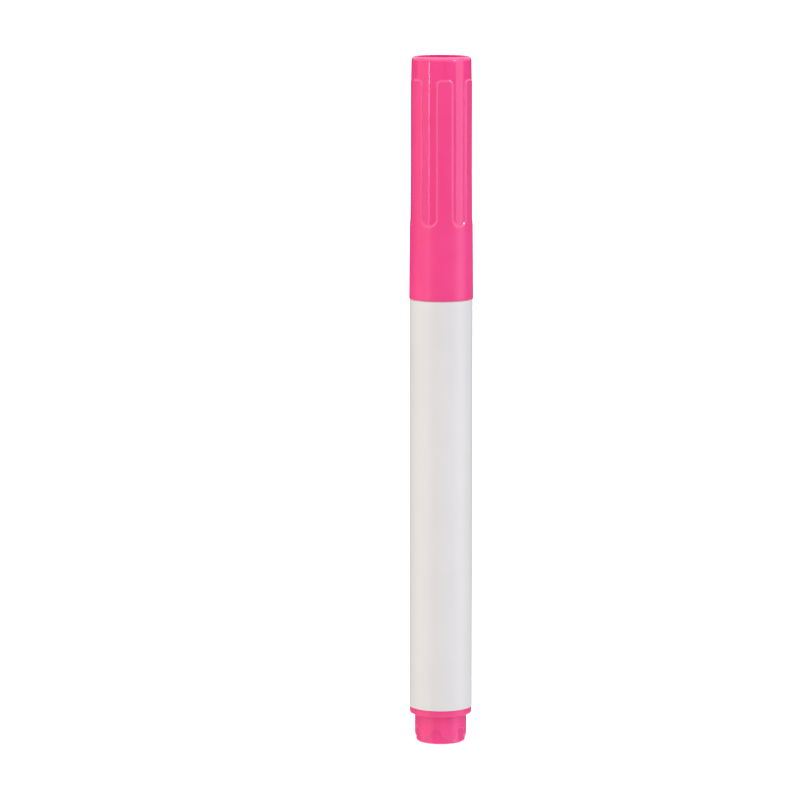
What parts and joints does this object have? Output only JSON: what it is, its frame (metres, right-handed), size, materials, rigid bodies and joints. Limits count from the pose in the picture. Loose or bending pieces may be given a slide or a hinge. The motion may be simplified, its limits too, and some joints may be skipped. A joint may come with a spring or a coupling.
{
  "type": "fabric marking pen",
  "caption": "Capped felt-tip fabric marking pen: plain white tubular barrel, push-on cap with shallow flutes and an open top, stepped end plug with arched recesses.",
  "frame": {"origin": "centre of the end plug's flat end face, the lowest point of the pen stood on its tail", "axes": "+Z along the pen's axis from the end plug to the cap's top; -Y is the front"},
  "size_m": [0.0128, 0.0128, 0.138],
  "materials": {
    "barrel_plastic": "moulded white polypropylene, satin gloss",
    "cap_plastic": "moulded pink polypropylene, polished in the flutes and fine matt on the raised skin",
    "seal_plastic": "moulded natural polyethylene",
    "nib_fibre": "bonded fibre, ink dyed",
    "reservoir_fibre": "bonded polyester fibre, ink soaked",
    "film": "thin clear film",
    "tube_plastic": "extruded natural plastic"
  },
  "bodies": {
    "pen": {"barrel": "barrel_plastic", "nib_holder": "barrel_plastic", "nib": "nib_fibre", "reservoir_core": "reservoir_fibre", "reservoir_film": "film", "breather_tube": "tube_plastic", "end_plug": "cap_plastic"},
    "cap": {"cap_shell": "cap_plastic", "cap_inner_seal": "seal_plastic"}
  },
  "joints": [
    {"name": "cap_pull", "type": "slide", "parent": "pen", "child": "cap", "axis": [0, 0, 1], "range_m": [0, 0.05]}
  ]
}
